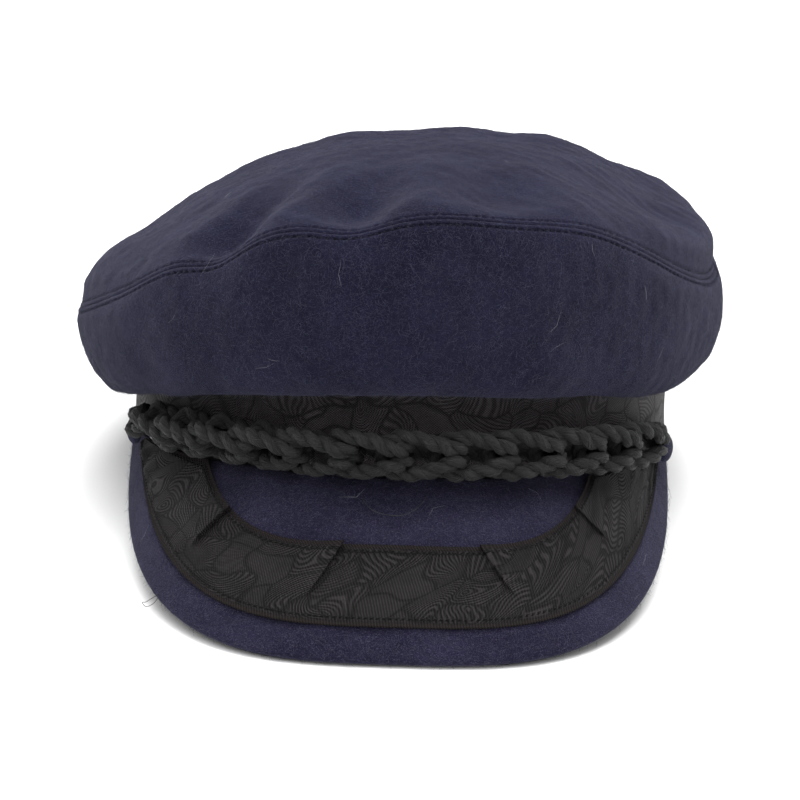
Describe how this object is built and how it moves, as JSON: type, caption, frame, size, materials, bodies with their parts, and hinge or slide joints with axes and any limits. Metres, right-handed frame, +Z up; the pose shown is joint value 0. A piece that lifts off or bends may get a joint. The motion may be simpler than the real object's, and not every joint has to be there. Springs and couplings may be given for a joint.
{
  "type": "fisherman cap",
  "caption": "Soft wool fisherman cap with a wide crown, brocade head band, sloping taped peak and a chain-stitched cord hooked over covered buttons.",
  "frame": {"origin": "on the table, under the middle of the cap's box", "axes": "+Z up, -Y towards the tip of the peak, +X to the wearer's left"},
  "size_m": [0.2266, 0.2782, 0.1332],
  "materials": {
    "navy_wool": "milled wool with short loose fibres",
    "black_brocade": "ribbed brocade tape with a raised scroll pattern",
    "black_lining": "plain matte cloth",
    "black_cord": "soft two-ply cord"
  },
  "bodies": {
    "root": {"crown_top": "navy_wool", "crown_front": "navy_wool", "crown_back": "navy_wool", "head_band": "black_brocade", "peak": "navy_wool", "peak_lining": "black_lining", "peak_tape": "black_brocade", "braid": "black_cord", "button_left": "navy_wool", "button_right": "navy_wool"}
  },
  "joints": []
}
